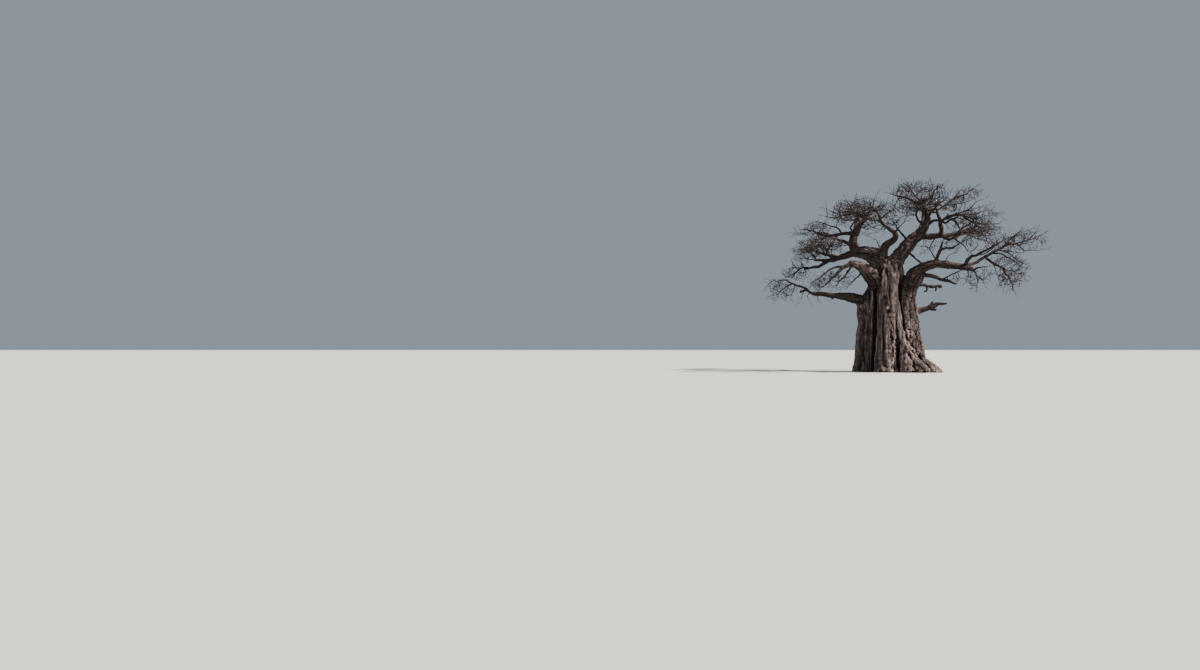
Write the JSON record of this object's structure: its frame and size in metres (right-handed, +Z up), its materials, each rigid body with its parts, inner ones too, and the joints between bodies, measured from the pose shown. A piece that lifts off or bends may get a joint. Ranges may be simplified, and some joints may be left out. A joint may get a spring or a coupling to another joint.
{
  "type": "baobab tree",
  "caption": "Old bare baobab with a squat fluted trunk of fused stems, heavy twisting boughs and flat open masses of fine twigs, cut flat at the ground.",
  "frame": {"origin": "in the trunk's flat cut at ground level, near the middle of the trunk", "axes": "+Z up, the front of the tree looks along -Y, +X to the right of someone who faces the front"},
  "size_m": [18.0254, 13.0753, 12.9592],
  "materials": {
    "bark": "rough weathered bark",
    "twigs": "dull bare twigs"
  },
  "bodies": {
    "root": {"trunk": "bark", "back_left_bough": "bark", "back_right_arm": "bark", "back_right_bough": "bark", "back_rising_arm": "bark", "centre_bough": "bark", "crown_bough": "bark", "front_high_arm": "bark", "front_top_arm": "bark", "left_arm": "bark", "left_bough": "bark", "left_crossing_arm": "bark", "left_lower_arm": "bark", "left_rising_bough": "bark", "left_shoulder_arm": "bark", "left_shoulder_bough": "bark", "left_upper_arm": "bark", "low_left_bough": "bark", "lower_ring_arm": "bark", "right_bough": "bark", "right_drooping_arm": "bark", "right_knee_arm": "bark", "right_lower_stub": "bark", "right_middle_stub": "bark", "right_outer_arm": "bark", "right_rising_bough": "bark", "right_upper_arm": "bark", "right_upper_stub": "bark", "right_upright_arm": "bark", "ring_bough": "bark", "ring_closing_arm": "bark", "upper_right_arm": "bark", "back_left_twigs": "twigs", "back_right_twigs": "twigs", "back_top_twigs": "twigs", "back_twigs": "twigs", "centre_twigs": "twigs", "crown_twigs": "twigs", "drooping_right_twigs": "twigs", "far_left_twigs": "twigs", "front_high_twigs": "twigs", "front_left_twigs": "twigs", "front_right_twigs": "twigs", "front_top_twigs": "twigs", "hanging_left_twigs": "twigs", "high_left_twigs": "twigs", "inner_right_twigs": "twigs", "left_twigs": "twigs", "outer_left_twigs": "twigs", "outer_right_twigs": "twigs", "right_twigs": "twigs", "under_right_twigs": "twigs", "upper_left_twigs": "twigs", "upper_right_twigs": "twigs"}
  },
  "joints": []
}
